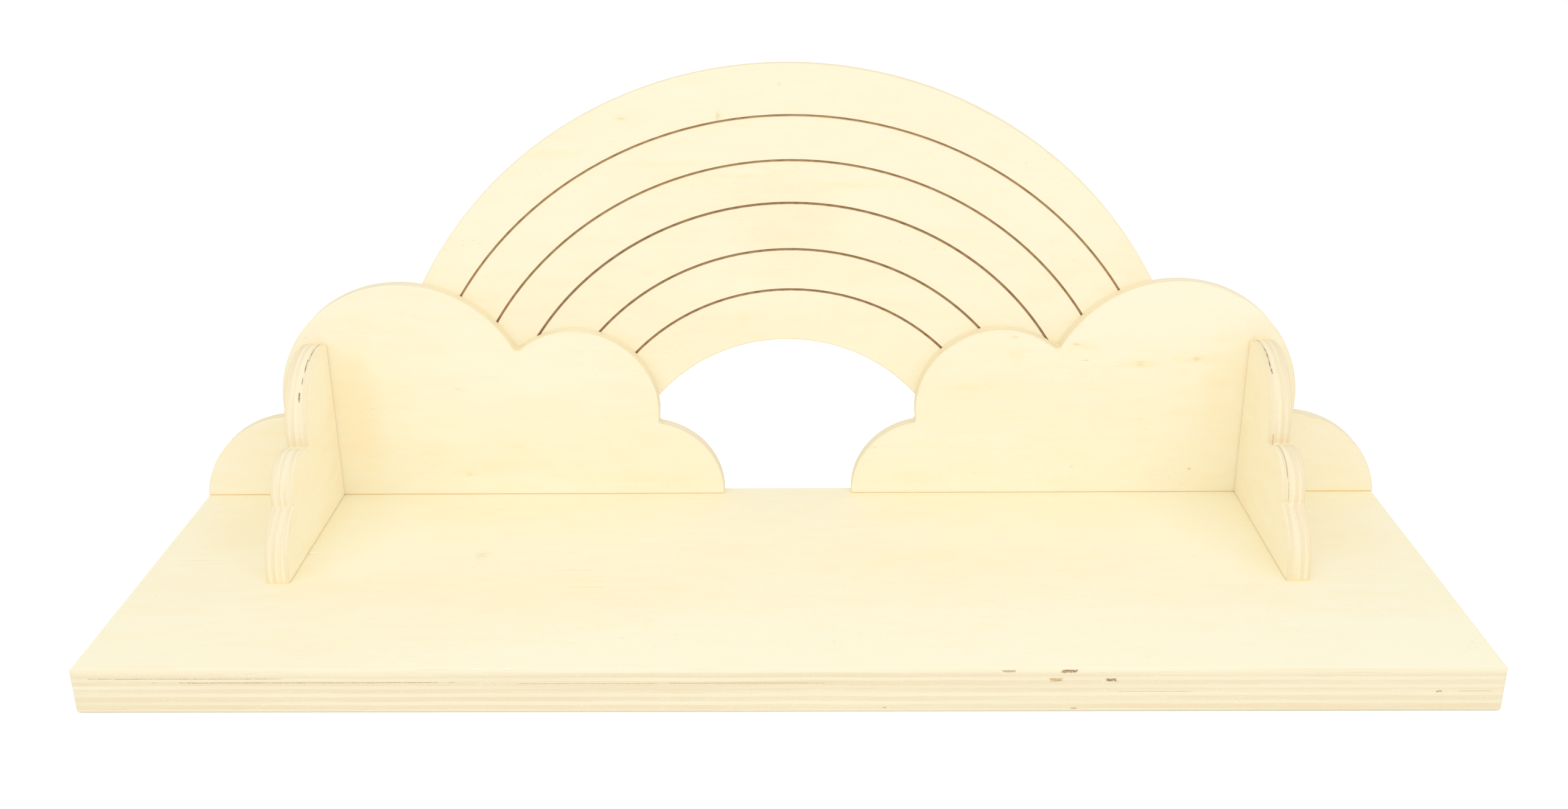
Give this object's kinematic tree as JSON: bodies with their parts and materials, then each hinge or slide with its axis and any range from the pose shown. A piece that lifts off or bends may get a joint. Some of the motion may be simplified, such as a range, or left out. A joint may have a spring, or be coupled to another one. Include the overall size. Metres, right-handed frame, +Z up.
{
  "type": "rainbow and clouds display shelf",
  "caption": "Small plywood display shelf: a board with a rainbow arch and two cloud panels along its back and two half-cloud brackets at its ends.",
  "frame": {"origin": "middle of the whole footprint, on the board's underside", "axes": "+X along the board to the viewer's right, -Y to the front, +Z up"},
  "size_m": [0.5, 0.154, 0.2],
  "materials": {
    "thick_plywood": "sanded, unfinished birch-faced plywood",
    "cloud_plywood": "sanded, unfinished birch-faced plywood",
    "engraved_plywood": "sanded, unfinished plywood with burnt engraved lines",
    "bracket_plywood": "sanded, unfinished birch-faced plywood"
  },
  "bodies": {
    "root": {"base_board": "thick_plywood", "left_cloud": "cloud_plywood", "right_cloud": "cloud_plywood", "rainbow_panel": "engraved_plywood", "left_bracket": "bracket_plywood", "right_bracket": "bracket_plywood"}
  },
  "joints": []
}
